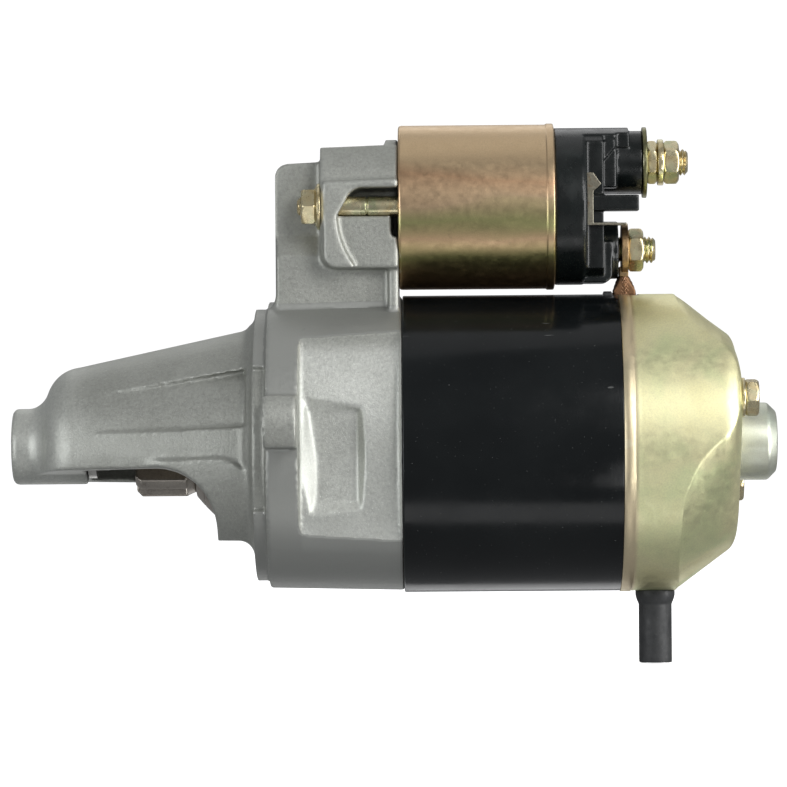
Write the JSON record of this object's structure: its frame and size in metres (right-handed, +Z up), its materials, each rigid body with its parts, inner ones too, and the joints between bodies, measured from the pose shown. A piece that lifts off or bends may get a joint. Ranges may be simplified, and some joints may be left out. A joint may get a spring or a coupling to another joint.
{
  "type": "starter motor",
  "caption": "Car starter motor with a piggyback solenoid, shift lever, sliding pinion in an open nose, black field case and stamped rear cover.",
  "frame": {"origin": "where the motor axis meets the mounting flange face, at the centre of the two mounting holes", "axes": "+X along the motor axis towards the rear cover, +Z up towards the solenoid, +Y away from the seen side"},
  "size_m": [0.2285, 0.1182, 0.1617],
  "materials": {
    "cast_aluminium": "as cast, lightly blasted",
    "bronze": "sintered bronze",
    "steel": "ground",
    "black_paint": "gloss black paint",
    "ferrite": "ferrite magnet",
    "zinc_cover": "yellow zinc plating",
    "zinc_case": "iridescent yellow zinc plating",
    "zinc_cap": "pale zinc plating",
    "zinc_fastener": "yellow zinc plating",
    "rubber": "moulded rubber",
    "spring_steel": "spring wire",
    "lamination": "stacked sheet",
    "copper": "bare copper",
    "copper_braid": "oxidised braid",
    "gear_steel": "hardened, oiled",
    "black_plastic": "gloss black moulding",
    "tinned_strip": "tinned strip",
    "carbon": "copper carbon brush"
  },
  "bodies": {
    "housing": {"drive_housing": "cast_aluminium", "nose_bush": "bronze", "pivot_pin": "steel", "yoke": "black_paint", "field_magnets": "ferrite", "magnet_clips": "steel", "rear_cover": "zinc_cover", "rear_bush": "bronze", "bearing_cap": "zinc_cap", "through_bolts": "zinc_fastener", "through_bolt_washers": "zinc_fastener", "drain_tube": "rubber", "brush_plate": "steel", "brush_plate_screws": "zinc_fastener", "brush_holders": "steel", "brush_springs": "spring_steel", "solenoid_case": "zinc_case", "solenoid_gasket": "rubber", "solenoid_bobbin": "black_plastic", "solenoid_coil": "copper", "solenoid_core": "steel", "solenoid_studs": "zinc_fastener", "solenoid_nuts": "zinc_fastener", "plunger_spring": "spring_steel", "contact_spring": "spring_steel", "solenoid_cap": "black_plastic", "battery_stud": "zinc_fastener", "motor_stud": "zinc_fastener", "battery_disc": "steel", "terminal_nuts": "zinc_fastener", "terminal_washers": "zinc_fastener", "lead_eyelet": "copper", "terminal_tab": "tinned_strip", "spade_terminal": "tinned_strip", "motor_lead": "copper_braid", "lead_grommet": "rubber"},
    "armature": {"armature_shaft": "steel", "armature_core": "lamination", "armature_windings": "copper", "commutator": "copper", "armature_shims": "steel", "end_clip": "steel", "stop_collar": "steel"},
    "clutch": {"clutch_barrel": "gear_steel", "clutch_cover": "gear_steel", "clutch_rollers": "steel", "clutch_sleeve": "steel"},
    "pinion": {"pinion": "gear_steel"},
    "lever": {"shift_lever": "steel"},
    "plunger": {"plunger": "steel", "plunger_hook": "steel"},
    "contact": {"contact_rod": "steel", "contact_disc": "copper"},
    "brush_1_block": {"brush_1": "carbon"},
    "brush_2_block": {"brush_2": "carbon"},
    "brush_3_block": {"brush_3": "carbon"},
    "brush_4_block": {"brush_4": "carbon"}
  },
  "joints": [
    {"name": "plunger_slide", "type": "slide", "parent": "housing", "child": "plunger", "axis": [1, 0, 0], "range_m": [0, 0.0074], "stiffness_N_per_m": 1500, "springref_m": -0.012, "deforming": ["plunger_spring"]},
    {"name": "lever_pivot", "type": "hinge", "parent": "housing", "child": "lever", "pos_m": [0.02, 0, 0.045], "axis": [0, 1, 0], "range_deg": [0, 16.51]},
    {"name": "armature_spin", "type": "hinge", "parent": "housing", "child": "armature", "pos_m": [0.07, 0, 0], "axis": [1, 0, 0], "continuous": true},
    {"name": "clutch_slide", "type": "slide", "parent": "armature", "child": "clutch", "axis": [-1, 0, 0], "range_m": [0, 0.0112]},
    {"name": "pinion_overrun", "type": "hinge", "parent": "clutch", "child": "pinion", "pos_m": [-0.032, 0, 0], "axis": [1, 0, 0], "continuous": true},
    {"name": "contact_slide", "type": "slide", "parent": "housing", "child": "contact", "axis": [1, 0, 0], "range_m": [0, 0.00201], "deforming": ["contact_spring"]},
    {"name": "brush_1_slide", "type": "slide", "parent": "housing", "child": "brush_1_block", "axis": [0, -0.3955, 0.9184], "range_m": [0, 0.003], "stiffness_N_per_m": 900, "springref_m": -0.009, "deforming": ["brush_springs"]},
    {"name": "brush_2_slide", "type": "slide", "parent": "housing", "child": "brush_2_block", "axis": [0, -0.9184, -0.3955], "range_m": [0, 0.003], "stiffness_N_per_m": 900, "springref_m": -0.009, "deforming": ["brush_springs"]},
    {"name": "brush_3_slide", "type": "slide", "parent": "housing", "child": "brush_3_block", "axis": [0, 0.3955, -0.9184], "range_m": [0, 0.003], "stiffness_N_per_m": 900, "springref_m": -0.009, "deforming": ["brush_springs"]},
    {"name": "brush_4_slide", "type": "slide", "parent": "housing", "child": "brush_4_block", "axis": [0, 0.9184, 0.3955], "range_m": [0, 0.003], "stiffness_N_per_m": 900, "springref_m": -0.009, "deforming": ["brush_springs"]}
  ],
  "couplings": [
    {"joint": "lever_pivot", "follows": "plunger_slide", "rad_per_m": 38.895},
    {"joint": "clutch_slide", "follows": "plunger_slide", "ratio": 1.5117},
    {"joint": "contact_slide", "follows": "plunger_slide", "ratio": 0.27012}
  ]
}
